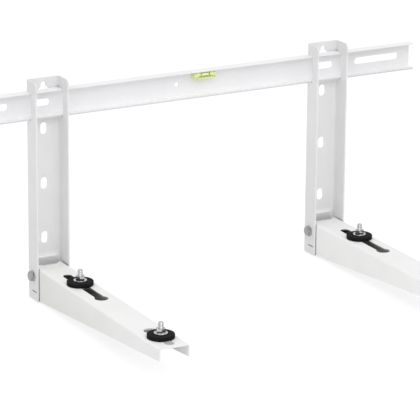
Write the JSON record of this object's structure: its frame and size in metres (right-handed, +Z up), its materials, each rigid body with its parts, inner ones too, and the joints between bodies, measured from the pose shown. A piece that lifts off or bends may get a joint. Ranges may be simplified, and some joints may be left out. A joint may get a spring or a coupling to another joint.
{
  "type": "air conditioner outdoor unit bracket",
  "caption": "Wall bracket for an outdoor unit: slotted channel bar with a bubble level, channel uprights hung on it, and tapered arms with rubber mounts on studs.",
  "frame": {"origin": "on the wall plane at the middle of the bar, half way up its web", "axes": "+X along the bar to the right as seen from the room, +Y into the wall, +Z up"},
  "size_m": [0.8, 0.42, 0.338],
  "materials": {
    "powder_coat": "satin white powder coat",
    "zinc": "bright zinc plate",
    "rubber": "matt",
    "level_body": "clear lime acrylic",
    "level_vial": "clear, filled"
  },
  "bodies": {
    "root": {"wall_bar": "powder_coat", "level_block": "level_body", "level_vial": "level_vial", "left_upright": "powder_coat", "right_upright": "powder_coat", "left_arm": "powder_coat", "right_arm": "powder_coat", "left_outer_bolt": "zinc", "left_inner_bolt": "zinc", "right_outer_bolt": "zinc", "right_inner_bolt": "zinc", "left_outer_nut": "zinc", "left_inner_nut": "zinc", "right_outer_nut": "zinc", "right_inner_nut": "zinc", "left_rear_pad": "rubber", "left_front_pad": "rubber", "right_rear_pad": "rubber", "right_front_pad": "rubber", "left_rear_washer": "zinc", "left_front_washer": "zinc", "right_rear_washer": "zinc", "right_front_washer": "zinc", "left_rear_pad_nut": "zinc", "left_front_pad_nut": "zinc", "right_rear_pad_nut": "zinc", "right_front_pad_nut": "zinc", "left_rear_stud": "zinc", "left_front_stud": "zinc", "right_rear_stud": "zinc", "right_front_stud": "zinc", "left_rear_under": "zinc", "left_front_under": "zinc", "right_rear_under": "zinc", "right_front_under": "zinc"}
  },
  "joints": []
}
